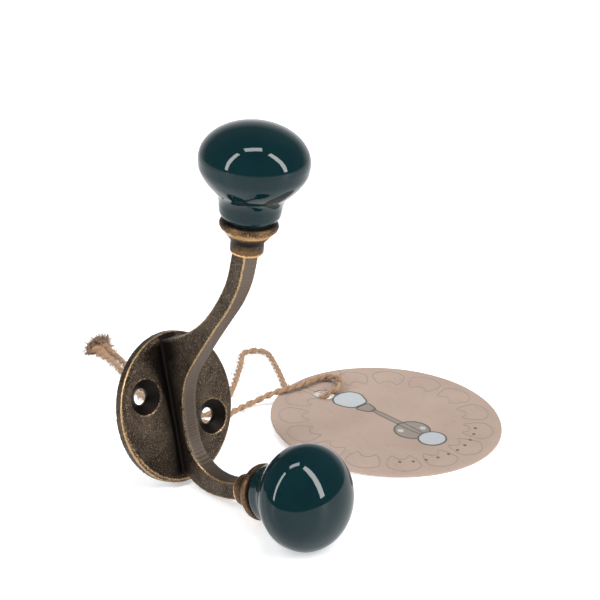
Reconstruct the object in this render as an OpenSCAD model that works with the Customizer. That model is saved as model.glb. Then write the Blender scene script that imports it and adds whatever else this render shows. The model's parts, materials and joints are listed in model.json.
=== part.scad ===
// Double wall hook: cast back plate with two arms, two ceramic knobs on studs,
// and a round card tag on a loop of jute twine. Millimetres, +Z up.
// The hook stands on its plate's lower rim and its lower knob; -Y is the way it faces.

/* [Back plate] */
// Height of the oval back plate
plate_h = 45; // [40:0.5:50]
// Width of the oval back plate
plate_w = 41; // [36:0.5:46]
// Thickness of the back plate
plate_t = 3.8; // [3.4:0.1:4.5]
// Bevel around the plate's front edge
plate_bevel = 1.1; // [0.5:0.1:1.5]
// Angle that the plate leans back when the hook stands on a table
lean = 15; // [13:0.5:17]

/* [Screw holes] */
// Diameter of each screw hole
screw_d = 4.8; // [4:0.1:5.2]
// Diameter of each countersink at the plate's face
sink_d = 10.8; // [9:0.1:11.5]
// Straight length of the screw hole behind the countersink
screw_len = 1.4; // [1:0.1:1.8]
// Sideways distance of each screw hole from the plate's centre
screw_x = 11.4; // [10:0.1:12]
// Height of the left hole above, and of the right hole below, the centre
screw_y = 6.2; // [4:0.1:7]

/* [Arms] */
// Width of the arms, side to side
arm_w = 5.3; // [4.8:0.1:6]
// Height of the upper knob's widest circle above the plate's centre
top_up = 72; // [70:0.5:74]
// Distance of the upper knob's widest circle from the wall
top_out = 54.5; // [53:0.5:56]
// Tilt of the upper knob's axis, outwards from the plate's own plane
top_tilt = 20.5; // [18:0.5:23]
// Distance of the lower knob's widest circle from the wall
low_out = 53.8; // [52:0.1:56]
// Upward tilt of the lower knob's axis, from square to the wall
low_tilt = 2; // [0:0.5:4]

/* [Knobs] */
// Widest diameter of each knob
knob_d = 30; // [28:0.5:31]
// Height of a knob's dome above its widest circle
dome_h = 10.1; // [9:0.1:11]
// Distance from a knob's widest circle back to its foot
knob_back = 16.4; // [15.5:0.1:17]

/* [Studs] */
// Diameter of the threaded studs
stud_d = 3; // [2.8:0.1:3.2]
// Radial clearance between a stud and the insert that turns on it
thread_gap = 0.05; // [0.02:0.01:0.08]

/* [Tag and twine] */
// Diameter of the round card tag
tag_d = 73.5; // [72:0.5:75]
// Thickness of the card
tag_t = 0.6; // [0.4:0.1:0.8]
// Diameter of the tag's hole
tag_hole_d = 7; // [6.8:0.1:7.4]
// Diameter of the jute twine
twine_d = 2.2; // [2:0.1:2.3]

/* [Hidden] */

// a smooth curve through the points p, with n steps between neighbours
function bend(a, b, c, d, t) = 0.5 * (2 * b + (c - a) * t + (2 * a - 5 * b + 4 * c - d) * t * t
    + (3 * b - a - 3 * c + d) * t * t * t);
function curve(p, n) = let (m = len(p) - 1) concat(
    [for (i = [0:m - 1]) for (k = [0:n - 1])
        bend(p[max(i - 1, 0)], p[i], p[i + 1], p[min(i + 2, m)], k / n)], [p[m]]);
function unit(v) = v / norm(v);

// a knob's side outline, as [radius, height above its widest circle], dome first
knob_r = knob_d / 2;
foot_r = 7.3;
dome_side = [for (a = [90:-6:6]) [knob_r * cos(a), dome_h * sin(a)]];
back_side = curve([[knob_r, 0], [14.7, -2.6], [13.5, -5], [11.8, -7.2], [9.9, -9.3], [8.9, -11.3],
    [8.6, -13.2], [8.3, -15], [foot_r, -knob_back]], 4);
knob_side = concat(dome_side, back_side);

// where the standing hook's plate and lower knob come to rest
axis_rise = lean + low_tilt;         // slope of the lower knob's axis
plate_z = plate_h / 2 * cos(lean);   // height of the plate's centre
knob_z = max([for (p = knob_side) p[0] * cos(axis_rise) - p[1] * sin(axis_rise)]);
low_up = (knob_z - plate_z - low_out * sin(lean)) / cos(lean);
knob_front = low_out * cos(lean) - low_up * sin(lean)
    + max([for (p = knob_side) p[1] * cos(axis_rise) + p[0] * sin(axis_rise)]);
plate_back = plate_h / 2 * sin(lean);
plate_y = (knob_front - plate_back) / 2;  // puts the origin in the middle, front to back

washer_t = 0.8;
washer_gap = 0.1;                   // lets the knob turn freely over its washer
seat_z = -knob_back - washer_gap - washer_t;
collar_len = 9.3;
collar_end = seat_z - collar_len;   // where the square arm meets the collar
collar_bore_r = stud_d / 2 + 0.15;
rim_gap = 0.5;                      // from a knob's foot to the top of the collar's rim
rim_r = 1.4;                        // radius of the rim's rounding
rim_at = 6.7;                       // distance of the rounding's middle from the axis
ferrule_r = 4.6;
ferrule_edge = 0.4;                 // bevel at the ferrule's end
washer_r = 6.4;
stud_in_arm = 3;
stud_in_knob = 10;
insert_r = 3.1;
insert_len = 11.5;
setting_r = 3.8;
well_depth = 13;

// the arms' side outline, as [out from the wall, up the plate]
arm_front = [[47.6, 46.9], [44.8, 41.4], [42.0, 37], [37.1, 31.6], [30, 25.7], [24.4, 21],
    [18, 15.4], [13.9, 11.6], [11, 7.6], [9.1, 3], [8.1, -2], [7.9, -8], [9, -12.4],
    [11.4, -15.9], [15, -18.4], [19, -19.6], [23, -19.9], [27.5, -19.7]];
arm_under = [[27.5, -25], [23, -25.3], [19, -25.2], [14.5, -24.8], [10, -23.4], [6.4, -21.2],
    [3.4, -18.6]];
arm_top = [[3.4, 21], [7, 21.4], [12, 22.3], [18.6, 24.6], [23.8, 27.2], [29.1, 31],
    [34.3, 35.8], [38.2, 40.5], [42.6, 48.8]];
curve_steps = 5;

// the tag lies tilted, its front rim on the table and its back rim on the twine
tag_x = 72;
tag_y = 11.5;
tag_hole = [68.2, 35.8];
tag_tilt = 2.3;

// centre lines of the twine, by hand; the table is at z = 0
loop_route = [[25.7, 57, 2.0], [25.6, 52.8, 1.2], [26.9, 49, 1.15], [30.3, 47.2, 1.15],
    [35.6, 47.2, 1.15], [41, 48.6, 1.15], [46.2, 48.8, 1.3], [50.4, 47.6, 2.4], [54.4, 45.4, 4.2],
    [58.6, 43.8, 4.9], [65.5, 43, 5.0], [72.2, 43, 5.0], [75.6, 41.7, 5.1], [77, 38.4, 5.2],
    [75.6, 35.1, 5.2], [72.4, 33.7, 5.0], [70, 34.2, 3.9], [68, 35.2, 2.55], [66.2, 36.4, 1.5],
    [63.8, 38.2, 1.15], [61.4, 41.6, 1.15], [61.5, 45.8, 1.15], [64.2, 49.8, 1.15],
    [71.4, 60.5, 1.15], [78.4, 72.5, 1.15], [79.6, 76.9, 1.15], [77.8, 79.9, 1.15],
    [74.5, 80.8, 1.15], [71.4, 79.2, 1.15], [66, 74, 1.15], [52.6, 62.6, 1.15],
    [41.5, 54.6, 1.15], [37, 52.4, 1.15], [32.8, 52, 1.15], [29.7, 53.8, 1.3], [28.4, 57.6, 2.0]];
tail_left_route = [[25.7, 63.4, 2.2], [25.2, 68, 1.3], [25, 75, 1.15], [26.4, 83, 1.15],
    [30.4, 92, 1.15], [34.8, 104, 1.15], [37.2, 117.5, 1.15]];
tail_right_route = [[28.4, 63.4, 2.2], [28, 68, 1.3], [27.8, 75, 1.15], [29.2, 82.2, 1.15],
    [33.2, 91, 1.15], [37.8, 103, 1.15], [40.1, 119, 1.15]];
loop_steps = 2;                      // rings of a tube between neighbouring points of its route
tail_steps = 1;
knot_middle = [27, 60, 3.1];
knot_half = [4.3, 4, 3];             // half of the knot's size along X, Y and Z

// a round tube along the centre line c, with flat ends
module tube(c, d, sides = 8) {
    m = len(c) - 1;
    points = [for (i = [0:m])
        let (along = unit(c[min(i + 1, m)] - c[max(i - 1, 0)]),
            side = unit(cross(along, [0, 0, 1])),
            over = cross(side, along))
        for (k = [0:sides - 1])
            c[i] + d / 2 * (side * cos(k * 360 / sides) + over * sin(k * 360 / sides))];
    walls = [for (i = [0:m - 1]) for (k = [0:sides - 1])
        let (a = i * sides + k, b = i * sides + (k + 1) % sides)
        each [[a, b, b + sides], [a, b + sides, a + sides]]];
    polyhedron(points, concat(walls, [[for (k = [sides - 1:-1:0]) k]],
        [[for (k = [0:sides - 1]) m * sides + k]]), convexity = 8);
}

// places children drawn in the plate's frame: X sideways, -Y out, Z up the plate
module on_plate() {
    translate([0, plate_y, plate_z]) rotate([-lean, 0, 0]) children();
}

// places children drawn about a knob's axis: +Z out of the knob, 0 at its widest circle
module on_upper_axis() {
    on_plate() translate([0, -top_out, top_up]) rotate([top_tilt, 0, 0]) children();
}

module on_lower_axis() {
    on_plate() translate([0, -low_out, low_up]) rotate([90 - low_tilt, 0, 0]) children();
}

module oval(inset) {
    polygon([for (a = [0:5:355])
        [(plate_w / 2 - inset) * cos(a), (plate_h / 2 - inset) * sin(a)]]);
}

module oval_plate() {
    rotate([90, 0, 0]) hull() {
        linear_extrude(plate_t - plate_bevel) oval(0);
        linear_extrude(plate_t) oval(plate_bevel);
    }
}

module screw_cut(x, z) {
    translate([x, 0, z]) rotate([90, 0, 0]) {
        translate([0, 0, -1]) cylinder(h = plate_t + 2, d = screw_d, $fn = 48);
        translate([0, 0, screw_len])
            cylinder(h = plate_t - screw_len, d1 = screw_d, d2 = sink_d, $fn = 48);
        translate([0, 0, plate_t]) cylinder(h = 4, d = sink_d, $fn = 48);
    }
}

module arm_bar() {
    outline = concat(curve(arm_front, curve_steps), curve(arm_under, curve_steps),
        curve(arm_top, curve_steps));
    rotate([90, 0, -90]) translate([0, 0, -arm_w / 2])
        linear_extrude(arm_w) polygon(outline);
}

// everything past a collar's end, cut away so that the arm ends square
module past_arm() {
    past_w = 20;
    translate([-past_w / 2, -past_w / 2, collar_end]) cube([past_w, past_w, collar_len + 3]);
}

module stud_hole() {
    translate([0, 0, collar_end - stud_in_arm]) cylinder(h = stud_in_arm + 1, d = stud_d, $fn = 40);
}

module hook_casting() {
    color("#4d3f31") difference() {
        on_plate() union() {
            oval_plate();
            arm_bar();
        }
        on_plate() screw_cut(-screw_x, screw_y);
        on_plate() screw_cut(screw_x, -screw_y);
        on_upper_axis() past_arm();
        on_lower_axis() past_arm();
        on_upper_axis() stud_hole();
        on_lower_axis() stud_hole();
    }
}

// flanged collar: a seat for the washer, a rounded rim, a hollow taper and a ferrule
module collar() {
    rim_top = -knob_back - rim_gap;
    rim = [for (a = [80:-20:-60]) [rim_at + rim_r * cos(a), rim_top - rim_r + rim_r * sin(a)]];
    taper = [for (a = [0:15:75])
        [ferrule_r + 2.2 * (1 - sin(a)), rim_top - 3.4 - 2.6 * sin(a)]];
    ferrule = [[ferrule_r, rim_top - 6.4], [ferrule_r, collar_end + ferrule_edge],
        [ferrule_r - ferrule_edge, collar_end]];
    seat_r = washer_r + 0.2;
    color("#8a6b3c") rotate_extrude($fn = 72) polygon(concat(
        [[collar_bore_r, seat_z], [seat_r, seat_z], [seat_r, rim_top]], rim, taper, ferrule,
        [[collar_bore_r, collar_end]]));
}

module stud() {
    bottom = collar_end - stud_in_arm;
    color("#a8abad") translate([0, 0, bottom])
        cylinder(h = -knob_back + stud_in_knob - bottom, d = stud_d, $fn = 40);
}

module washer() {
    color("#1b1b1b") translate([0, 0, seat_z]) difference() {
        cylinder(h = washer_t, r = washer_r, $fn = 48);
        translate([0, 0, -1]) cylinder(h = washer_t + 2, d = stud_d + 0.4, $fn = 40);
    }
}

module insert() {
    color("#b08d4a") translate([0, 0, -knob_back]) difference() {
        cylinder(h = insert_len, r = insert_r, $fn = 40);
        translate([0, 0, -1]) cylinder(h = insert_len, r = stud_d / 2 + thread_gap, $fn = 40);
    }
}

// plaster that sets the insert in the knob's well
module setting() {
    color("#d9d4c8") translate([0, 0, -knob_back]) difference() {
        cylinder(h = well_depth, r = setting_r, $fn = 40);
        translate([0, 0, -1]) cylinder(h = insert_len + 1, r = insert_r, $fn = 40);
    }
}

module knob() {
    color("#12333a") difference() {
        rotate_extrude($fn = 96) polygon(concat(knob_side, [[0, -knob_back]]));
        translate([0, 0, -knob_back - 1]) cylinder(h = well_depth + 1, r = setting_r, $fn = 40);
    }
}

module upper_collar() on_upper_axis() collar();
module lower_collar() on_lower_axis() collar();
module upper_stud() on_upper_axis() stud();
module lower_stud() on_lower_axis() stud();
module upper_washer() on_upper_axis() washer();
module lower_washer() on_lower_axis() washer();
module upper_insert() on_upper_axis() insert();
module lower_insert() on_lower_axis() insert();
module upper_setting() on_upper_axis() setting();
module lower_setting() on_lower_axis() setting();
module upper_knob() on_upper_axis() knob();
module lower_knob() on_lower_axis() knob();

module hang_tag() {
    color("#c9a893") translate([0, tag_y - tag_d / 2, 0]) rotate([tag_tilt, 0, 0])
        translate([0, tag_d / 2 - tag_y, 0]) difference() {
            translate([tag_x, tag_y, 0]) cylinder(h = tag_t, d = tag_d, $fn = 96);
            translate([tag_hole[0], tag_hole[1], -1]) cylinder(h = tag_t + 2, d = tag_hole_d, $fn = 36);
        }
}

module twine_loop() {
    color("#b4936c") tube(curve(loop_route, loop_steps), twine_d);
}

module twine_tail_left() {
    color("#b4936c") tube(curve(tail_left_route, tail_steps), twine_d);
}

module twine_tail_right() {
    color("#b4936c") tube(curve(tail_right_route, tail_steps), twine_d);
}

module twine_knot() {
    color("#b4936c") translate(knot_middle) scale(knot_half) sphere(r = 1, $fn = 16);
}

hook_casting();
upper_collar();
lower_collar();
upper_stud();
lower_stud();
upper_washer();
lower_washer();
upper_insert();
lower_insert();
upper_setting();
lower_setting();
upper_knob();
lower_knob();
hang_tag();
twine_loop();
twine_knot();
twine_tail_left();
twine_tail_right();
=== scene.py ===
import json
import math

import bmesh
import bpy
import numpy as np
from mathutils import Matrix, Vector, noise


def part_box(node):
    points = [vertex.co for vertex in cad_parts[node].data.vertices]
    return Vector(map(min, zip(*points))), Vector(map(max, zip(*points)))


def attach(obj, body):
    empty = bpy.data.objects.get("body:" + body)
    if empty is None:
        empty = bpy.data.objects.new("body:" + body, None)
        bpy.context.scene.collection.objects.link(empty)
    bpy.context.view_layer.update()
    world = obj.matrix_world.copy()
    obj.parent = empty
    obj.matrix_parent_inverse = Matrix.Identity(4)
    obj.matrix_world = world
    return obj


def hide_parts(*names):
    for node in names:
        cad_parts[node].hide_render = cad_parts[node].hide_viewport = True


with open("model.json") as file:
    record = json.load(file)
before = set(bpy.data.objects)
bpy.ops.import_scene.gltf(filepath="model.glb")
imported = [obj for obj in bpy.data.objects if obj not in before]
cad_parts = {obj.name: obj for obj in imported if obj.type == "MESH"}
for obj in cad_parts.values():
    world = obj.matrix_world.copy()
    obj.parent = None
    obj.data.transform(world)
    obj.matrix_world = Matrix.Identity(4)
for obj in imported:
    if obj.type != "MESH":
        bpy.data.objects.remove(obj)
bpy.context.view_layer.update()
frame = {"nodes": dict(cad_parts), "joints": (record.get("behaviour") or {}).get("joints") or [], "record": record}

MM = 0.001
UP = Vector((0, 0, 1))

# --- Camera, floor and light ---------------------------------------------------------------------

CAMERA_AT = Vector((-0.29406, -0.3208, 0.24029))
CAMERA_PAN, CAMERA_TILT, CAMERA_ROLL = (math.radians(a) for a in (44.48, 21.91, 1.60))
CAMERA_LENS = 103.2


def turned(right, up, back, at):
    """The matrix of a thing at a point, from its three directions."""
    return Matrix.Translation(at) @ Matrix((right, up, back)).transposed().to_4x4()


def make_camera():
    data = bpy.data.cameras.new("camera")
    data.sensor_width, data.lens = 36, CAMERA_LENS
    data.clip_start, data.clip_end = 0.01, 20
    level = Vector((math.cos(CAMERA_PAN), -math.sin(CAMERA_PAN), 0))
    ahead = Vector((math.sin(CAMERA_PAN) * math.cos(CAMERA_TILT),
                    math.cos(CAMERA_PAN) * math.cos(CAMERA_TILT), -math.sin(CAMERA_TILT)))
    above = level.cross(ahead)
    right = level * math.cos(CAMERA_ROLL) + above * math.sin(CAMERA_ROLL)
    camera = bpy.data.objects.new("camera", data)
    camera.matrix_world = turned(right, right.cross(ahead), -ahead, CAMERA_AT)
    bpy.context.scene.collection.objects.link(camera)
    bpy.context.scene.camera = camera


def soft_light(name, at, target, size, watts):
    """A rectangular soft box, its long side level or upright, that faces the target."""
    data = bpy.data.lights.new(name, "AREA")
    data.shape, data.size, data.size_y, data.energy = "RECTANGLE", *size, watts
    light = bpy.data.objects.new(name, data)
    back = (Vector(at) - Vector(target)).normalized()
    right = Vector((0, 0, 1)).cross(back).normalized()
    light.matrix_world = turned(right, back.cross(right), back, Vector(at))
    bpy.context.scene.collection.objects.link(light)


def compass(azimuth, distance, height):
    """A point round the object; azimuth 0 is +Y and 90 is +X."""
    a = math.radians(azimuth)
    return distance * math.sin(a), distance * math.cos(a), height


def colour(code):
    """A linear colour from its sRGB hex code."""
    parts = [int(code[i:i + 2], 16) / 255 for i in (1, 3, 5)]
    return (*[c / 12.92 if c <= 0.04045 else ((c + 0.055) / 1.055) ** 2.4 for c in parts], 1)


def add(tree, kind, inputs=(), **settings):
    """Adds a node with its settings; an input is a constant or the socket that feeds it."""
    node = tree.nodes.new(kind)
    for name, value in settings.items():
        setattr(node, name, value)
    for name, value in dict(inputs).items():
        if isinstance(value, bpy.types.NodeSocket):
            tree.links.new(value, node.inputs[name])
        else:
            node.inputs[name].default_value = value
    return node


def make_studio():
    """A dim room with a white wall low behind the object, two upright soft boxes and a bar."""
    world = bpy.data.worlds.new("studio")
    bpy.context.scene.world = world
    world.use_nodes = True
    tree = world.node_tree
    tree.nodes.clear()
    way = add(tree, "ShaderNodeTexCoord").outputs["Generated"]
    ahead = (math.sin(CAMERA_PAN), math.cos(CAMERA_PAN), -0.7)
    facing = add(tree, "ShaderNodeVectorMath", {0: way, 1: ahead}, operation="DOT_PRODUCT")
    level = add(tree, "ShaderNodeMapRange", {"Value": facing.outputs["Value"], "From Min": 0.4,
                                             "From Max": 0.95, "To Min": 0.22, "To Max": 1.3})
    light = add(tree, "ShaderNodeBackground", {"Color": colour("#fbfcff"),
                                               "Strength": level.outputs["Result"]})
    add(tree, "ShaderNodeOutputWorld", {"Surface": light.outputs["Background"]})
    soft_light("left_strip", compass(-82, 0.95, 0.74), (0, 0, 0.07), (0.15, 1.3), 12.3)
    soft_light("right_strip", compass(157, 0.95, 0.74), (0, 0, 0.07), (0.18, 1.3), 14.7)
    soft_light("top_bar", (-0.045, -0.068, 1.05), (0, 0, 0.1), (0.40, 0.15), 3.2)
    bpy.context.scene.view_settings.view_transform = "Standard"


def make_floor():
    mesh = bpy.data.meshes.new("floor")
    half = 3
    mesh.from_pydata([(-half, -half, 0), (half, -half, 0), (half, half, 0), (-half, half, 0)],
                     [], [(0, 1, 2, 3)])
    floor = bpy.data.objects.new("floor", mesh)
    bpy.context.scene.collection.objects.link(floor)
    # the table is a sheet of white acrylic with a little light under it
    mesh.materials.append(shader("white_table", "#f1f1f2", 0.5, Emission_Color=colour("#ffffff"),
                                 Emission_Strength=0.42)[0])


def shader(name, base, roughness, metallic=0.0, **more):
    """A new material with its principled shader, which the caller then feeds."""
    material = bpy.data.materials.new(name)
    material.use_nodes = True
    tree = material.node_tree
    tree.nodes.clear()
    surface = add(tree, "ShaderNodeBsdfPrincipled",
                  {"Base Color": colour(base), "Roughness": roughness, "Metallic": metallic})
    for socket, value in more.items():
        surface.inputs[socket.replace("_", " ")].default_value = value
    add(tree, "ShaderNodeOutputMaterial", {"Surface": surface.outputs["BSDF"]})
    return material, tree, surface


make_camera()
make_studio()
make_floor()

# --- Shared making functions ---------------------------------------------------------------------


def per_mm(size_mm):
    """The scale of a noise whose patches are this many millimetres across, in metres."""
    return 1000 / size_mm


def mix(tree, share, first, second):
    """The colour between two others, by a share from 0 to 1."""
    return add(tree, "ShaderNodeMix", {0: share, 6: first, 7: second},
               data_type="RGBA").outputs[2]


def new_piece(name, mesh, body, material, replaced=()):
    """A finished mesh as a piece of the object, on its body."""
    piece = bpy.data.objects.new(name, mesh)
    bpy.context.scene.collection.objects.link(piece)
    mesh.materials.clear()
    mesh.materials.append(material)
    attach(piece, body)
    if replaced:
        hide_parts(*replaced)
    return piece


def mesh_of(name, points, faces, smooth=True):
    mesh = bpy.data.meshes.new(name)
    mesh.from_pydata([tuple(p) for p in points], [], faces)
    mesh.validate()
    mesh.shade_smooth() if smooth else mesh.shade_flat()
    return mesh


def evaluated(obj):
    """The plain mesh that an object's modifiers make; the object itself is removed."""
    graph = bpy.context.evaluated_depsgraph_get()
    mesh = bpy.data.meshes.new_from_object(obj.evaluated_get(graph))
    mesh.name = obj.name
    bpy.data.objects.remove(obj)
    return mesh


def through(points, steps):
    """A smooth curve through the points, with this many steps between neighbours."""
    p = [Vector(q) for q in points]
    last = len(p) - 1
    out = []
    for i in range(last):
        a, b, c, d = p[max(i - 1, 0)], p[i], p[i + 1], p[min(i + 2, last)]
        for k in range(steps):
            t = k / steps
            out.append(0.5 * (2 * b + (c - a) * t + (2 * a - 5 * b + 4 * c - d) * t * t
                              + (3 * b - a - 3 * c + d) * t ** 3))
    return out + [p[last]]


def evenly(points, step):
    """The same line with its points an even step apart."""
    p = np.array(points, float)
    run = np.r_[0, np.cumsum(np.linalg.norm(np.diff(p, axis=0), axis=1))]
    at = np.linspace(0, run[-1], max(2, round(run[-1] / step)) + 1)
    return np.array([np.interp(at, run, p[:, k]) for k in range(3)]).T


# --- Twine ---------------------------------------------------------------------------------------

LOOP_ROUTE = [
    (25.7, 57, 2.0), (25.6, 52.8, 1.2), (26.9, 49, 1.15), (30.3, 47.2, 1.15), (35.6, 47.2, 1.15),
    (41, 48.6, 1.15), (46.2, 48.8, 1.3), (50.4, 47.6, 2.4), (54.4, 45.4, 4.2), (58.6, 43.8, 4.9),
    (65.5, 43, 5.0), (72.2, 43, 5.0), (75.6, 41.7, 5.1), (77, 38.4, 5.2), (75.6, 35.1, 5.2),
    (72.4, 33.7, 5.0), (70, 34.2, 3.9), (68, 35.2, 2.55), (66.2, 36.4, 1.5), (63.8, 38.2, 1.15),
    (61.4, 41.6, 1.15), (61.5, 45.8, 1.15), (64.2, 49.8, 1.15), (71.4, 60.5, 1.15),
    (78.4, 72.5, 1.15), (79.6, 76.9, 1.15), (77.8, 79.9, 1.15), (74.5, 80.8, 1.15),
    (71.4, 79.2, 1.15), (66, 74, 1.15), (52.6, 62.6, 1.15), (41.5, 54.6, 1.15), (37, 52.4, 1.15),
    (32.8, 52, 1.15), (29.7, 53.8, 1.3), (28.4, 57.6, 2.0)]
TAIL_LEFT_ROUTE = [
    (25.7, 63.4, 2.2), (25.2, 68, 1.3), (25, 75, 1.15), (26.4, 83, 1.15), (30.4, 92, 1.15),
    (34.8, 104, 1.15), (37.2, 117.5, 1.15)]
TAIL_RIGHT_ROUTE = [
    (28.4, 63.4, 2.2), (28, 68, 1.3), (27.8, 75, 1.15), (29.2, 82.2, 1.15), (33.2, 91, 1.15),
    (37.8, 103, 1.15), (40.1, 119, 1.15)]
KNOT_AT = Vector((27, 60, 3.1)) * MM
PLY_PITCH = 6.8 * MM
PLY_R = 0.6 * MM
PLY_OFFSET = 0.46 * MM
UNLAID = 15 * MM
RING_STEP = 0.45 * MM


def jute(name, pale):
    """Jute twine, spun from coarse bast fibres: matt, tan, streaked along each ply."""
    material, tree, surface = shader(name, "#b8946a", 0.92, Sheen_Weight=0.25,
                                     Sheen_Roughness=0.6)
    lie = add(tree, "ShaderNodeUVMap", uv_map="twine").outputs["UV"]
    # the map runs in metres along a ply and in turns round it, so a streak is 4 mm by a fibre
    drawn = add(tree, "ShaderNodeMapping", {"Vector": lie, "Scale": (per_mm(4), 9, 1)})
    streaks = add(tree, "ShaderNodeTexNoise", {"Vector": drawn.outputs["Vector"], "Scale": 1.0,
                                               "Detail": 4.0, "Roughness": 0.65})
    place = add(tree, "ShaderNodeTexCoord").outputs["Object"]
    patches = add(tree, "ShaderNodeTexNoise", {"Vector": place, "Scale": per_mm(5), "Detail": 2.0})
    streak = add(tree, "ShaderNodeMapRange", {"Value": streaks.outputs["Fac"],
                                              "From Min": 0.36, "From Max": 0.66})
    spun = mix(tree, streak.outputs["Result"], colour("#5f4430"), colour(pale))
    warm = mix(tree, patches.outputs["Fac"], colour("#a37553"), colour("#a88c6c"))
    tint = mix(tree, 0.35, spun, warm)
    tree.links.new(tint, surface.inputs["Base Color"])
    relief = add(tree, "ShaderNodeBump", {"Height": streaks.outputs["Fac"], "Strength": 0.6,
                                          "Distance": 0.12 * MM})
    tree.links.new(relief.outputs["Normal"], surface.inputs["Normal"])
    return material


def side_frames(line):
    """A sideways and an upward direction at each point, carried along without twisting."""
    along = np.gradient(line, axis=0)
    along /= np.linalg.norm(along, axis=1)[:, None]
    side = np.cross(along[0], (0, 0, 1))
    sides = []
    for t in along:
        side = side - t * (side @ t)
        side = side / np.linalg.norm(side)
        sides.append(side)
    sides = np.array(sides)
    return along, sides, np.cross(sides, along)


def two_ply(name, line, flare=0.0, closed=False):
    """Two spun plies twisted round a line; each is a lobed tube that thickens at a frayed end."""
    sides = 12
    along, side, over = side_frames(line)
    run = np.r_[0, np.cumsum(np.linalg.norm(np.diff(line, axis=0), axis=1))]
    points, faces, lie = [], [], []
    for ply in range(2):
        first = len(points)
        for i, centre in enumerate(line):
            turn = 2 * math.pi * run[i] / PLY_PITCH + ply * math.pi
            loose = 1 + flare * max(0.0, 1 - (run[-1] - run[i]) / UNLAID) ** 1.5
            sway = noise.noise(Vector((run[i] / (3 * MM), ply * 7.3, len(line) * 0.01)))
            out = side[i] * math.cos(turn) + over[i] * math.sin(turn)
            middle = centre + out * PLY_OFFSET * loose
            across = np.cross(along[i], out)
            for k in range(sides):
                a = 2 * math.pi * k / sides
                lobes = 1 + 0.09 * math.cos(5 * a - 2.2 * turn) + 0.1 * sway
                grain = 0.06 * noise.noise(Vector((run[i] / (0.9 * MM), 2.5 * a, ply * 3)))
                r = PLY_R * (lobes + grain) * loose
                point = middle + (out * math.cos(a) + across * math.sin(a)) * r
                points.append((point[0], point[1], max(point[2], 0.03 * MM)))
        for i in range(len(line) - 1):
            for k in range(sides):
                a, b = first + i * sides + k, first + i * sides + (k + 1) % sides
                faces.append((a, a + sides, b + sides, b))
                lie.append([(run[i], k / sides), (run[i + 1], k / sides),
                            (run[i + 1], (k + 1) / sides), (run[i], (k + 1) / sides)])
        if closed:
            continue
        faces.append(tuple(first + k for k in range(sides)))
        lie.append([(0, k / sides) for k in range(sides)])
        end = first + (len(line) - 1) * sides
        faces.append(tuple(end + k for k in reversed(range(sides))))
        lie.append([(run[-1], k / sides) for k in reversed(range(sides))])
    mesh = mesh_of(name, points, faces)
    layer = mesh.uv_layers.new(name="twine")
    layer.data.foreach_set("uv", [x for face in lie for uv in face for x in uv])
    return mesh


def fibre_tree():
    """Geometry nodes: stray fibres that stand off a surface, each one bent and turned its own way."""
    tree = bpy.data.node_groups.new("stray_fibres", "GeometryNodeTree")
    face = tree.interface
    face.new_socket("Geometry", in_out="INPUT", socket_type="NodeSocketGeometry")
    for name in ("Fibres per square metre", "Fibre length", "Fibre thickness", "Lean"):
        face.new_socket(name, in_out="INPUT", socket_type="NodeSocketFloat")
    face.new_socket("Seed", in_out="INPUT", socket_type="NodeSocketInt")
    face.new_socket("Finish", in_out="INPUT", socket_type="NodeSocketMaterial")
    face.new_socket("Geometry", in_out="OUTPUT", socket_type="NodeSocketGeometry")
    given = add(tree, "NodeGroupInput").outputs
    normal = add(tree, "GeometryNodeInputNormal").outputs["Normal"]
    height = add(tree, "ShaderNodeSeparateXYZ", {"Vector": normal}).outputs["Z"]
    upper = add(tree, "FunctionNodeCompare", {0: height, 1: -0.3}, operation="GREATER_THAN")
    spots = add(tree, "GeometryNodeDistributePointsOnFaces",
                {"Mesh": given["Geometry"], "Selection": upper.outputs["Result"],
                 "Density": given["Fibres per square metre"], "Seed": given["Seed"]})
    stand = add(tree, "FunctionNodeAlignRotationToVector", {"Vector": spots.outputs["Normal"]},
                axis="Z")
    low = add(tree, "ShaderNodeCombineXYZ", {"Z": -math.pi})
    high = add(tree, "ShaderNodeCombineXYZ", {"X": given["Lean"], "Y": given["Lean"],
                                              "Z": math.pi})
    turn = add(tree, "FunctionNodeRandomValue",
               {0: low.outputs["Vector"], 1: high.outputs["Vector"], "Seed": given["Seed"]},
               data_type="FLOAT_VECTOR")
    lean = add(tree, "FunctionNodeEulerToRotation", {"Euler": turn.outputs["Value"]})
    rotation = add(tree, "FunctionNodeRotateRotation",
                   {"Rotation": stand.outputs["Rotation"],
                    "Rotate By": lean.outputs["Rotation"]}, rotation_space="LOCAL")
    bow = add(tree, "GeometryNodeCurveQuadraticBezier",
              {"Resolution": 5, "Start": (0, 0, 0), "Middle": (0.1, 0.05, 0.6),
               "End": (0.5, 0.1, 0.9)})
    ratio = add(tree, "ShaderNodeMath", {0: given["Fibre thickness"], 1: given["Fibre length"]},
                operation="DIVIDE")
    ring = add(tree, "GeometryNodeCurvePrimitiveCircle",
               {"Resolution": 3, "Radius": ratio.outputs["Value"]})
    fibre = add(tree, "GeometryNodeCurveToMesh",
                {"Curve": bow.outputs["Curve"], "Profile Curve": ring.outputs["Curve"],
                 "Fill Caps": True})
    spread = add(tree, "FunctionNodeRandomValue", {2: 0.35, 3: 1.25, "Seed": given["Seed"]},
                 data_type="FLOAT")
    size = add(tree, "ShaderNodeMath", {0: spread.outputs[1], 1: given["Fibre length"]},
               operation="MULTIPLY")
    placed = add(tree, "GeometryNodeInstanceOnPoints",
                 {"Points": spots.outputs["Points"], "Instance": fibre.outputs["Mesh"],
                  "Rotation": rotation.outputs["Rotation"], "Scale": size.outputs["Value"]})
    real = add(tree, "GeometryNodeRealizeInstances", {"Geometry": placed.outputs["Instances"]})
    done = add(tree, "GeometryNodeSetMaterial", {"Geometry": real.outputs["Geometry"],
                                                 "Material": given["Finish"]})
    add(tree, "NodeGroupOutput", {"Geometry": done.outputs["Geometry"]})
    return tree


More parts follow.
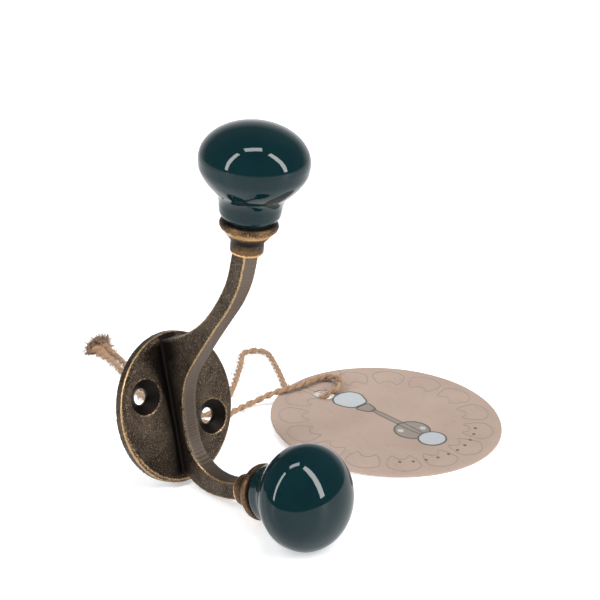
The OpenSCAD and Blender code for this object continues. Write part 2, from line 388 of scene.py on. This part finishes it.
def grown_on(name, base, tree, **inputs):
    """The mesh that a geometry-nodes tree grows on a base mesh."""
    carrier = bpy.data.objects.new(name, base.copy())
    bpy.context.scene.collection.objects.link(carrier)
    modifier = carrier.modifiers.new("growth", "NODES")
    modifier.node_group = tree
    sockets = {s.name: s.identifier for s in tree.interface.items_tree if s.in_out == "INPUT"}
    for socket, value in inputs.items():
        modifier[sockets[socket.replace("_", " ")]] = value
    mesh = evaluated(carrier)
    co = np.empty(len(mesh.vertices) * 3)
    mesh.vertices.foreach_get("co", co)
    # a fibre that would dip under the table lies on it instead
    co[2::3] = np.maximum(co[2::3], 0.08 * MM)
    mesh.vertices.foreach_set("co", co)
    mesh.update()
    return mesh


def cut_end(line, radius):
    """A small cap across the end of a line, for the brush of a frayed end to stand on."""
    tip = Vector(line[-1])
    ahead = (tip - Vector(line[-4])).normalized()
    side = ahead.cross(UP).normalized()
    over = side.cross(ahead)
    ring = [tip + (side * math.cos(a) + over * math.sin(a)) * radius
            for a in (2 * math.pi * k / 16 for k in range(16))]
    return mesh_of("cut_end", ring, [tuple(range(16))])


def knot_line():
    """An overhand knot pulled tight, as a trefoil that closes on itself."""
    wide, high = 1.05 * MM, 1.7 * MM
    return [KNOT_AT + Vector((wide * (math.sin(t) + 2 * math.sin(2 * t)),
                              wide * (math.cos(t) - 2 * math.cos(2 * t)), -high * math.sin(3 * t)))
            for t in (2 * math.pi * k / 90 for k in range(91))]


spun_jute = jute("spun_jute", "#aa8965")
stray_jute = jute("stray_jute_fibre", "#a98a67")
fibres = fibre_tree()
routes = {"loop": LOOP_ROUTE, "tail_left": TAIL_LEFT_ROUTE, "tail_right": TAIL_RIGHT_ROUTE}
lines = {name: evenly([p * MM for p in through(route, 16)], RING_STEP)
         for name, route in routes.items()}

knot = new_piece("knot_of_twine", two_ply("knot_of_twine", evenly(knot_line(), RING_STEP)),
                 "root", spun_jute, ["twine_knot"])
for number, (name, line) in enumerate(lines.items()):
    tail = name != "loop"
    strand = new_piece(f"{name}_of_twine",
                       two_ply(f"{name}_of_twine", line, flare=1.6 if tail else 0.0), "root",
                       spun_jute, [f"twine_{name}"])
    fuzz_mesh = grown_on(f"fuzz_on_{name}", strand.data, fibres, Seed=number + 3,
                         Fibres_per_square_metre=500000.0 if tail else 260000.0,
                         Fibre_length=3.6 * MM, Fibre_thickness=0.075 * MM, Lean=1.3, Finish=stray_jute)
    fuzz = new_piece(f"fuzz_on_{name}", fuzz_mesh, "root", stray_jute)
    with_it = [fuzz, knot, frame["nodes"]["hang_tag"]] if not tail else [fuzz]
    if tail:
        brush = grown_on(f"frayed_end_of_{name}", cut_end(line, 2.8 * MM), fibres,
                         Seed=number + 20, Fibres_per_square_metre=4.5e7,
                         Fibre_length=3.0 * MM, Fibre_thickness=0.1 * MM, Lean=0.75,
                         Finish=stray_jute)
        with_it.append(new_piece(f"frayed_end_of_{name}", brush, "root",
                                 stray_jute))

# --- Cast brass ----------------------------------------------------------------------------------


def aged_brass(name, dark, brown, bright, worn_from):
    """Sand-cast brass, blackened and rubbed back: dark and pitted, gold on its worn edges."""
    material, tree, surface = shader(name, dark, 0.5, 0.85)
    place = add(tree, "ShaderNodeTexCoord").outputs["Object"]
    blotches = add(tree, "ShaderNodeTexNoise", {"Vector": place, "Scale": per_mm(5),
                                                "Detail": 4.0, "Roughness": 0.6})
    pits = add(tree, "ShaderNodeTexNoise", {"Vector": place, "Scale": per_mm(0.8),
                                            "Detail": 5.0, "Roughness": 0.7})
    specks = add(tree, "ShaderNodeTexNoise", {"Vector": place, "Scale": per_mm(0.42),
                                              "Detail": 3.0, "Roughness": 0.6})
    # the wear attribute holds real wear, and on the plate also painted light on the bevel's foot and painted shade
    # round the web
    wear = add(tree, "ShaderNodeAttribute", attribute_name="wear_and_painted_light").outputs["Fac"]
    ribbed = add(tree, "ShaderNodeAttribute", attribute_name="filed").outputs["Fac"]
    rough_wear = add(tree, "ShaderNodeMath", {0: specks.outputs["Fac"], 1: 0.45, 2: wear},
                     operation="MULTIPLY_ADD")
    rubbed_and_painted_light = add(tree, "ShaderNodeMapRange", {"Value": rough_wear.outputs["Value"],
                                              "From Min": worn_from, "From Max": worn_from + 0.14})
    # low wear is painted near black: patina in the hollows, and on the plate painted shade round the web
    hollows_and_painted_shade = add(tree, "ShaderNodeMapRange", {"Value": wear, "From Min": 0.47, "From Max": 0.34})
    gold = add(tree, "ShaderNodeMapRange", {"Value": specks.outputs["Fac"], "From Min": 0.53,
                                            "From Max": 0.64, "To Max": 0.45})
    patch = add(tree, "ShaderNodeMapRange", {"Value": blotches.outputs["Fac"], "From Min": 0.35,
                                             "From Max": 0.62})
    skin = mix(tree, patch.outputs["Result"], colour(dark), colour(brown))
    speckled = mix(tree, gold.outputs["Result"], skin, colour("#8e7c66"))
    filed = mix(tree, ribbed, speckled, colour("#62574d"))
    shaded = mix(tree, hollows_and_painted_shade.outputs["Result"], filed, colour("#18130f"))
    whole = mix(tree, rubbed_and_painted_light.outputs["Result"], shaded, colour(bright))
    tree.links.new(whole, surface.inputs["Base Color"])
    polish = add(tree, "ShaderNodeMapRange", {"Value": rubbed_and_painted_light.outputs["Result"],
                                              "To Min": 0.5, "To Max": 0.34})
    tree.links.new(polish.outputs["Result"], surface.inputs["Roughness"])
    strokes = add(tree, "ShaderNodeTexWave", {"Vector": place, "Scale": per_mm(2.6),
                                              "Distortion": 3.0, "Detail": 2.0},
                  bands_direction="Z")
    cut = add(tree, "ShaderNodeMath", {0: strokes.outputs["Fac"], 1: ribbed},
              operation="MULTIPLY")
    height = add(tree, "ShaderNodeMath", {0: cut.outputs["Value"], 1: 0.7,
                                          2: pits.outputs["Fac"]}, operation="MULTIPLY_ADD")
    relief = add(tree, "ShaderNodeBump", {"Height": height.outputs["Value"], "Strength": 0.55,
                                          "Distance": 0.16 * MM})
    tree.links.new(relief.outputs["Normal"], surface.inputs["Normal"])
    return material


def neighbour_mean(values, edges, count):
    """The mean of each vertex's neighbours, for one column or several."""
    out = np.empty_like(values)
    for c in range(values.shape[1]):
        out[:, c] = (np.bincount(edges[:, 0], values[edges[:, 1], c], len(values))
                     + np.bincount(edges[:, 1], values[edges[:, 0], c], len(values))) / count
    return out


def cast_copy(name, node, grain, rounds, pit):
    """A CAD solid as it leaves a sand mould: rounded edges, filled corners, uneven skin.

    grain is the size of its mesh, rounds says how far the corners are softened, and pit is
    how deep the skin's unevenness goes. It stores how exposed each point is to rubbing."""
    solid = bmesh.new()
    solid.from_mesh(frame["nodes"][node].data)
    bmesh.ops.remove_doubles(solid, verts=solid.verts, dist=1e-6)
    mesh = bpy.data.meshes.new(name)
    solid.to_mesh(mesh)
    solid.free()
    carrier = bpy.data.objects.new(name, mesh)
    bpy.context.scene.collection.objects.link(carrier)
    remesh = carrier.modifiers.new("skin", "REMESH")
    remesh.mode, remesh.voxel_size, remesh.use_smooth_shade = "VOXEL", grain, True
    mesh = evaluated(carrier)
    total = len(mesh.vertices)
    points = np.empty(total * 3)
    mesh.vertices.foreach_get("co", points)
    points = points.reshape(-1, 3)
    edges = np.empty(len(mesh.edges) * 2, np.int64)
    mesh.edges.foreach_get("vertices", edges)
    edges = edges.reshape(-1, 2)
    count = np.maximum(1, np.bincount(edges.ravel(), minlength=total))
    for _ in range(rounds):
        points += 0.5 * (neighbour_mean(points, edges, count) - points)
    mesh.vertices.foreach_set("co", points.ravel())
    mesh.update()
    normals = np.empty(total * 3)
    mesh.vertex_normals.foreach_get("vector", normals)
    normals = normals.reshape(-1, 3)
    bulge = ((points - neighbour_mean(points, edges, count)) * normals).sum(1) / grain
    wear = np.clip(0.5 + 2.6 * bulge, 0, 1)[:, None]
    for _ in range(2):
        wear = 0.5 * wear + 0.5 * neighbour_mean(wear, edges, count)
    lift = np.array([0.6 * noise.noise(Vector(p) / (3.5 * MM))
                     + noise.noise(Vector(p) / (1.1 * MM)) for p in points])
    points += normals * (lift * pit)[:, None]
    mesh.vertices.foreach_set("co", points.ravel())
    mesh.update()
    mesh.attributes.new("wear_and_painted_light", "FLOAT", "POINT").data.foreach_set("value", wear[:, 0])
    mesh.shade_smooth()
    return mesh, points, normals


def mark_filed(mesh, points, normals):
    """Marks the arms' narrow front face, which was filed flat across."""
    wall = next(m for m in frame["record"]["mounts"] if m["name"] == "wall_face")
    behind = np.array(wall["axis"])
    out = (np.array(wall["pos_m"]) - points) @ behind
    square = np.clip(1.3 - 3 * np.abs(normals[:, 0]), 0, 1)
    facing = np.clip(-(normals @ behind) * 2.5 + 0.2, 0, 1)
    narrow = np.abs(points[:, 0]) < ARM_HALF
    filed = np.where(narrow & (out > 5 * MM), square * facing, 0)
    mesh.attributes.new("filed", "FLOAT", "POINT").data.foreach_set("value", filed)


def mark_plate(mesh, points):
    """Rubs the plate's bevel and its holes' rims bright, with painted light on the bevel's foot; blackens the
    holes, and paints shade round the web.
    """
    mounts = {m["name"]: m for m in frame["record"]["mounts"]}
    behind = np.array(mounts["wall_face"]["axis"])
    middle = np.array(mounts["wall_face"]["pos_m"])
    away = points - middle
    out = -away @ behind
    up = away @ np.cross(behind, (-1, 0, 0))
    half_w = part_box("hook_casting")[1].x
    from_rim = half_w * (1 - np.hypot(points[:, 0] / half_w, up / PLATE_HALF_H))
    wear = np.empty(len(points))
    mesh.attributes["wear_and_painted_light"].data.foreach_get("value", wear)
    on_face = out < PLATE_T + 0.3 * MM
    # the bevel is rubbed bright and also carries painted light: its band is wide at its foot, where light falls on
    # it, and a thin line at its head, which lies in shade
    band = (0.25 + 0.95 * np.clip(0.3 - up / PLATE_HALF_H, 0, 1)) * MM
    bevel = on_face & (out > PLATE_T - 1.5 * MM) & (from_rim < band)
    wear = np.where(bevel, np.maximum(wear, 0.5) + 0.15, wear)
    for side in ("left", "right"):
        hole = mounts[f"{side}_screw_hole"]
        axis = np.array(hole["axis"])
        gone = points - np.array(hole["pos_m"])
        radius = np.linalg.norm(gone - np.outer(gone @ axis, axis), axis=1)
        from_edge = np.abs(radius - SINK_R)
        rim = on_face & (from_edge < RIM_HALF)
        wear = np.where(rim, 0.72, np.where(from_edge < 0.8 * MM, 0.5, wear))
        wear = np.where(on_face & (radius < SINK_R - RIM_HALF), 0.2, wear)
    # painted shade, darkest in the corner where the web meets the plate and fading away from it
    corner = np.hypot(np.maximum(np.abs(points[:, 0]) - ARM_HALF, 0),
                      np.maximum(out - PLATE_T, 0))
    painted_shade = 0.21 * np.exp(-corner / PAINTED_SHADE_REACH) * (np.abs(up) < PLATE_HALF_H - 3 * MM)
    # painted shade: the web's head, where it leaves the plate, is painted as dark as its foot
    crook = np.clip((up - 12 * MM) / (4 * MM), 0, 1) * (np.abs(points[:, 0]) < ARM_HALF + 0.5 * MM)
    painted_shade = np.maximum(painted_shade, 0.24 * crook * np.exp(-((out - PLATE_T) / (6 * MM)) ** 2))
    painted_shade *= out > PLATE_T - 0.8 * MM
    mesh.attributes["wear_and_painted_light"].data.foreach_set("value", np.clip(wear - painted_shade, 0, 1))


def mark_collar(mesh, points, joint):
    """Rubs a collar's lip and its ferrule's end bright, and leaves the hollows between dark."""
    centre, axis = np.array(joint["pos_m"]), np.array(joint["axis"])
    down = -(points - centre) @ axis / np.linalg.norm(axis) / MM
    wear = np.empty(len(points))
    mesh.attributes["wear_and_painted_light"].data.foreach_get("value", wear)
    for at, width, change in COLLAR_BANDS:
        wear += change * np.exp(-((down - at) / width) ** 2)
    mesh.attributes["wear_and_painted_light"].data.foreach_set("value", np.clip(wear, 0, 1))


def joint_of(end):
    return next(j for j in frame["joints"] if j["name"] == f"{end}_knob_turn")


ARM_HALF = 2.65 * MM
PLATE_T = 3.8 * MM
PLATE_HALF_H = 22.5 * MM
SINK_R = 5.4 * MM
RIM_HALF = 0.24 * MM
# how far the painted shade round the web reaches from its corner
PAINTED_SHADE_REACH = 4.4 * MM
# where a band lies below the knob's widest circle, its width, both in mm, and its extra wear
COLLAR_BANDS = ((17.0, 0.6, -0.2), (19.8, 0.8, 0.3), (22.0, 1.0, -0.2), (24.0, 0.9, -0.1),
                (26.4, 0.8, 0.2))
cast_brass = aged_brass("aged_cast_brass", "#29221c", "#453a30", "#ae8f68", 0.87)
rubbed_brass = aged_brass("rubbed_cast_brass", "#2c2219", "#634b33", "#cfa26a", 0.84)

casting_mesh, casting_points, casting_normals = cast_copy("cast_hook", "hook_casting",
                                                          0.3 * MM, 2, 0.022 * MM)
mark_filed(casting_mesh, casting_points, casting_normals)
mark_plate(casting_mesh, casting_points)
new_piece("cast_hook", casting_mesh, "root", cast_brass, ["hook_casting"])
for end in ("upper", "lower"):
    collar_mesh, collar_points, _ = cast_copy(f"{end}_cast_collar", f"{end}_collar", 0.2 * MM, 3,
                                              0.035 * MM)
    mark_collar(collar_mesh, collar_points, joint_of(end))
    new_piece(f"{end}_cast_collar", collar_mesh, "root", rubbed_brass,
              [f"{end}_collar"])

# --- Ceramic knobs -------------------------------------------------------------------------------

KNOB_R = 15.0
DOME_H = 10.1
FOOT_AT = -16.4
KNOB_BACK = [(KNOB_R, 0), (14.7, -2.6), (13.5, -5), (11.8, -7.2), (9.9, -9.3), (8.9, -11.3),
             (8.6, -13.2), (8.3, -15), (7.3, FOOT_AT)]
WELL_R, WELL_DEPTH = 3.8, 13.0
KNOB_STEPS = 192


def teal_glaze():
    """Stoneware under a deep teal glaze: wet gloss, a little uneven, thinner where it has run."""
    material, tree, surface = shader("teal_glaze", "#0d2a30", 0.035, IOR=1.5,
                                     Specular_IOR_Level=0.22)
    place = add(tree, "ShaderNodeTexCoord").outputs["Object"]
    pooled = add(tree, "ShaderNodeTexNoise", {"Vector": place, "Scale": per_mm(9),
                                              "Detail": 3.0})
    tone = mix(tree, pooled.outputs["Fac"], colour("#02191d"), colour("#07262a"))
    pin = add(tree, "ShaderNodeTexNoise", {"Vector": place, "Scale": per_mm(0.5), "Detail": 2.0})
    pinholes = add(tree, "ShaderNodeMapRange", {"Value": pin.outputs["Fac"], "From Min": 0.74,
                                                "From Max": 0.78, "To Max": 0.5})
    whole = mix(tree, pinholes.outputs["Result"], tone, colour("#2b4a4e"))
    tree.links.new(whole, surface.inputs["Base Color"])
    flow = add(tree, "ShaderNodeTexNoise", {"Vector": place, "Scale": per_mm(3.5),
                                            "Detail": 1.0})
    relief = add(tree, "ShaderNodeBump", {"Height": flow.outputs["Fac"], "Strength": 0.12,
                                          "Distance": 0.12 * MM})
    tree.links.new(relief.outputs["Normal"], surface.inputs["Normal"])
    return material


def knob_mesh(name, joint):
    """A glazed knob turned about its joint's axis, with the well for its insert."""
    centre, axis = Vector(joint["pos_m"]), Vector(joint["axis"]).normalized()
    side = axis.cross(Vector((1, 0, 0))).normalized()
    over = axis.cross(side)
    dome = [(KNOB_R * math.cos(a), DOME_H * math.sin(a))
            for a in (math.pi / 2 * (1 - k / 44) for k in range(1, 44))]
    back = [(p.x, p.y) for p in through([(*p, 0) for p in KNOB_BACK], 6)]
    well_top = FOOT_AT + WELL_DEPTH
    outline = dome + back + [(WELL_R, FOOT_AT), (WELL_R, well_top)]
    points = [centre + axis * DOME_H * MM]
    for r, z in outline:
        for k in range(KNOB_STEPS):
            a = 2 * math.pi * k / KNOB_STEPS
            points.append(centre + (axis * z + (side * math.cos(a) + over * math.sin(a)) * r) * MM)
    points.append(centre + axis * well_top * MM)
    faces = [(0, 1 + k, 1 + (k + 1) % KNOB_STEPS) for k in range(KNOB_STEPS)]
    for i in range(len(outline) - 1):
        for k in range(KNOB_STEPS):
            a = 1 + i * KNOB_STEPS + k
            b = 1 + i * KNOB_STEPS + (k + 1) % KNOB_STEPS
            faces.append((a, a + KNOB_STEPS, b + KNOB_STEPS, b))
    last = 1 + (len(outline) - 1) * KNOB_STEPS
    faces += [(len(points) - 1, last + (k + 1) % KNOB_STEPS, last + k) for k in range(KNOB_STEPS)]
    mesh = mesh_of(name, points, faces)
    outward = bmesh.new()
    outward.from_mesh(mesh)
    bmesh.ops.recalc_face_normals(outward, faces=outward.faces)
    outward.to_mesh(mesh)
    outward.free()
    mesh.set_sharp_from_angle(angle=math.radians(50))
    return mesh


glaze = teal_glaze()
for end in ("upper", "lower"):
    new_piece(f"{end}_glazed_knob", knob_mesh(f"{end}_glazed_knob", joint_of(end)),
              f"{end}_knob", glaze, [f"{end}_knob"])

# --- Hang tag ------------------------------------------------------------------------------------

tag_low, tag_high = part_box("hang_tag")
TAG_R = (tag_high.x - tag_low.x) / 2
TAG_T = 0.6 * MM
swivel = next(j for j in frame["joints"] if j["name"] == "tag_swivel")
tag_normal = Vector(swivel["axis"]).normalized()
tag_back = tag_normal.cross(Vector((1, 0, 0))).normalized()
tag_side = tag_back.cross(tag_normal).normalized()
tag_middle = (tag_low + tag_high) / 2
HOLE_R = 3.5 * MM


def on_tag(x, y, z=0.0):
    """A point on the card: x and y in millimetres from its middle, z above its top face."""
    curl = 0.35 * max(0.0, (x - 14) / 22) ** 2
    return tag_middle + (tag_side * x + tag_back * y + tag_normal * (z + curl)) * MM \
        + tag_normal * TAG_T / 2


def on_card_plane(point):
    """A point's x and y on the card, in millimetres from its middle."""
    away = Vector(point) - tag_middle
    return away.dot(tag_side) / MM, away.dot(tag_back) / MM


def card_mesh():
    """A punched round card: two faces, a crushed rim and the wall of its hole."""
    hole_x, hole_y = on_card_plane(swivel["pos_m"])
    rim_r, hole_r, thick = TAG_R / MM, HOLE_R / MM, TAG_T / MM
    around, inward = 240, 26
    edge = [(0, -0.12), (0.05, -0.03), (0.12, 0)]
    rows = []
    for k in range(around):
        a = 2 * math.pi * k / around
        dx, dy = math.cos(a), math.sin(a)
        # where the ray from the hole's middle meets the rim
        along = hole_x * dx + hole_y * dy
        far = -along + math.sqrt(along ** 2 - hole_x ** 2 - hole_y ** 2 + rim_r ** 2)
        top = [(far - s, z) for s, z in edge]
        top += [(far - 0.12 + (hole_r - far + 0.12) * (i / inward), 0) for i in range(1, inward)]
        top += [(hole_r + 0.02, -0.02), (hole_r, -0.12)]
        under = [(r, -thick - z) for r, z in reversed(top)]
        rows.append([on_tag(hole_x + dx * r, hole_y + dy * r, z) for r, z in top + under])
    size = len(rows[0])
    points = [p for row in rows for p in row]
    faces = [(k * size + i, k * size + (i + 1) % size,
              (k + 1) % around * size + (i + 1) % size, (k + 1) % around * size + i)
             for k in range(around) for i in range(size)]
    return mesh_of("kraft_card", points, faces)


def kraft_card():
    """Recycled kraft card, calendered and cut: matt, pinkish brown, flecked with fibre."""
    material, tree, surface = shader("kraft_card", "#c6a893", 0.82)
    place = add(tree, "ShaderNodeTexCoord").outputs["Object"]
    cloud = add(tree, "ShaderNodeTexNoise", {"Vector": place, "Scale": per_mm(14),
                                             "Detail": 3.0})
    laid = add(tree, "ShaderNodeMapping", {"Vector": place, "Scale": (1, 0.25, 1),
                                           "Rotation": (0, 0, 0.4)})
    fleck = add(tree, "ShaderNodeTexNoise", {"Vector": laid.outputs["Vector"],
                                             "Scale": per_mm(0.7), "Detail": 4.0})
    flecks = add(tree, "ShaderNodeMapRange", {"Value": fleck.outputs["Fac"], "From Min": 0.6,
                                              "From Max": 0.75, "To Max": 0.45})
    even = mix(tree, cloud.outputs["Fac"], colour("#9b877b"), colour("#ab9789"))
    whole = mix(tree, flecks.outputs["Result"], even, colour("#867162"))
    tree.links.new(whole, surface.inputs["Base Color"])
    relief = add(tree, "ShaderNodeBump", {"Height": fleck.outputs["Fac"], "Strength": 0.25,
                                          "Distance": 0.05 * MM})
    tree.links.new(relief.outputs["Normal"], surface.inputs["Normal"])
    return material


def printing_ink(name, code):
    """Flat litho ink on card: matt, a little broken by the card's tooth."""
    material, tree, surface = shader(name, code, 0.75)
    place = add(tree, "ShaderNodeTexCoord").outputs["Object"]
    tooth = add(tree, "ShaderNodeTexNoise", {"Vector": place, "Scale": per_mm(0.4),
                                             "Detail": 3.0})
    broken = add(tree, "ShaderNodeMapRange", {"Value": tooth.outputs["Fac"], "From Min": 0.5,
                                              "From Max": 0.8, "To Max": 0.5})
    tree.links.new(mix(tree, broken.outputs["Result"], colour(code), colour("#a39084")),
                   surface.inputs["Base Color"])
    return material


# heights of the inks above the card, in mm: each one lies over those before it
GREY, STEM, WHITE, INK, FOOT, FOOT_LINE = 0.015, 0.025, 0.035, 0.05, 0.06, 0.075


def ink_band(outer, inner, level):
    """A thin closed ribbon of ink between two rings of points on the card."""
    count = len(outer)
    points = [on_tag(x, y, z) for z in (-0.01, level) for ring in (outer, inner) for x, y in ring]
    faces = []
    for k in range(count):
        n = (k + 1) % count
        low_out, low_in, top_out, top_in = k, count + k, 2 * count + k, 3 * count + k
        low_out_n, low_in_n, top_out_n, top_in_n = n, count + n, 2 * count + n, 3 * count + n
        faces += [(top_out, top_out_n, top_in_n, top_in), (low_out, low_in, low_in_n, low_out_n),
                  (low_out, low_out_n, top_out_n, top_out), (low_in, top_in, top_in_n, low_in_n)]
    return points, faces


def outline_band(ring, width, level=INK):
    """An inked outline of a closed ring of points, this wide."""
    p = np.array(ring, float)
    ahead = np.roll(p, -1, 0) - np.roll(p, 1, 0)
    ahead /= np.linalg.norm(ahead, axis=1)[:, None]
    out = np.c_[ahead[:, 1], -ahead[:, 0]] * width / 2
    return ink_band((p + out).tolist(), (p - out).tolist(), level)


def ink_patch(ring, level):
    """A flat closed patch of ink inside a ring of points."""
    count = len(ring)
    points = [on_tag(x, y, z) for z in (-0.01, level) for x, y in ring]
    faces = [tuple(range(count, 2 * count)), tuple(reversed(range(count)))]
    faces += [(k, (k + 1) % count, count + (k + 1) % count, count + k) for k in range(count)]
    return points, faces


def print_of(name, parts, material):
    """Several inked shapes as one piece on the card."""
    points, faces = [], []
    for some_points, some_faces in parts:
        faces += [tuple(i + len(points) for i in face) for face in some_faces]
        points += some_points
    mesh = mesh_of(name, points, faces, smooth=False)
    return new_piece(name, mesh, "tag", material)


def oval(x, y, half_w, half_h, n=40):
    return [(x + half_w * math.cos(2 * math.pi * k / n), y + half_h * math.sin(2 * math.pi * k / n))
            for k in range(n)]


def rounded(corners, rounds=2):
    """A closed ring whose corners are cut back, and cut again, until they are soft."""
    ring = [Vector(p) for p in corners]
    for _ in range(rounds):
        ring = [a.lerp(b, t) for a, b in zip(ring, ring[1:] + ring[:1]) for t in (0.2, 0.8)]
    return [tuple(p) for p in ring]


def petal(turn):
    """One petal of the border, in degrees and millimetres: bowed outside and notched inside."""
    shape = [(-9.6, 27.6), (-10.2, 31.6), (-5, 33.6), (0, 34.2), (5, 33.6), (10.2, 31.6),
             (9.6, 27.6), (6.6, 24.2), (3.4, 26.4), (0, 26.9), (-3.4, 26.4), (-6.6, 24.2)]
    polar = [(math.radians(turn + a), r) for a, r in shape]
    return rounded([(r * math.sin(a), r * math.cos(a)) for a, r in polar])


PETALS = 15
new_piece("kraft_tag", card_mesh(), "tag", kraft_card(), ["hang_tag"])
print_of("petal_border", [outline_band(petal(360 * k / PETALS), 0.34) for k in range(PETALS)],
         printing_ink("faint_grey_ink", "#8d827b"))
knob_drawn = rounded([(-5.9, 17.6), (-3.6, 20.6), (0.6, 21.6), (4.4, 20.4), (5.9, 17.2), (4.6, 13.8),
                      (3.2, 11.4), (-3.0, 11.3), (-4.9, 14.0)])
collar_drawn = rounded([(-3.2, 11.0), (3.2, 11.1), (2.4, 7.4), (1.7, 6.2), (-0.6, 6.2), (-1.8, 7.6)])
stem_drawn = [(-0.2, 7), (1.8, 7), (2.3, -14), (0.3, -14)]
plate_drawn = oval(0.8, -10.6, 5.9, 5.4)
foot_drawn = oval(1.6, -18.4, 4.7, 4.1)
pale_ink = printing_ink("pale_grey_ink", "#abb1b4")
LINE_W = 0.56
print_of("drawing_greys", [ink_patch(plate_drawn, GREY), ink_patch(collar_drawn, GREY),
                           ink_patch(stem_drawn, STEM)],
         printing_ink("mid_grey_ink", "#857c74"))
print_of("drawing_whites", [ink_patch(knob_drawn, WHITE), ink_patch(foot_drawn, FOOT),
                            ink_patch(oval(-2.4, -8.6, 1.0, 1.0, 16), WHITE),
                            ink_patch(oval(4.4, -11.8, 1.0, 1.0, 16), WHITE)], pale_ink)
outlines = [outline_band(ring, LINE_W) for ring in (knob_drawn, plate_drawn, collar_drawn)]
outlines.append(outline_band(foot_drawn, LINE_W, FOOT_LINE))
outlines.append(outline_band(rounded(stem_drawn, 1), 0.38))
DOTS, DOT_R, DOT_ROW_R, FIRST_DOT, DOT_STEP = 10, 0.55, 28.4, -38, 8.5
for k in range(DOTS):
    a = math.radians(FIRST_DOT + DOT_STEP * k)
    middle = (DOT_ROW_R * math.sin(a), -DOT_ROW_R * math.cos(a))
    outlines.append(ink_patch([(middle[0] + DOT_R * math.sin(b), middle[1] + DOT_R * math.cos(b))
                               for b in (2 * math.pi * n / 12 for n in range(12))], INK))
print_of("drawing_lines", outlines, printing_ink("dark_grey_ink", "#54504e"))

# --- Hardware inside the knobs -------------------------------------------------------------------


def hardware(name, base, roughness, metallic, grain_mm, contrast):
    """A plain finish with its grain: zinc-plated steel, moulded rubber, brass or plaster."""
    material, tree, surface = shader(name, base, roughness, metallic)
    place = add(tree, "ShaderNodeTexCoord").outputs["Object"]
    grain = add(tree, "ShaderNodeTexNoise", {"Vector": place, "Scale": per_mm(grain_mm),
                                             "Detail": 3.0})
    base_colour = colour(base)
    darker = (*[c * (1 - contrast) for c in base_colour[:3]], 1)
    tree.links.new(mix(tree, grain.outputs["Fac"], darker, base_colour),
                   surface.inputs["Base Color"])
    relief = add(tree, "ShaderNodeBump", {"Height": grain.outputs["Fac"], "Strength": 0.3,
                                          "Distance": 0.04 * MM})
    tree.links.new(relief.outputs["Normal"], surface.inputs["Normal"])
    return material


finishes = {
    "stud": hardware("zinc_plated_steel", "#b4b8ba", 0.34, 1.0, 0.5, 0.2),
    "washer": hardware("moulded_black_rubber", "#151515", 0.78, 0.0, 0.3, 0.4),
    "insert": hardware("turned_brass", "#b9924c", 0.3, 1.0, 0.4, 0.25),
    "setting": hardware("cast_plaster", "#d9d4c8", 0.9, 0.0, 0.8, 0.2)}
for part, finish in finishes.items():
    for end in ("upper", "lower"):
        node = frame["nodes"][f"{end}_{part}"]
        node.data.materials.clear()
        node.data.materials.append(finish)
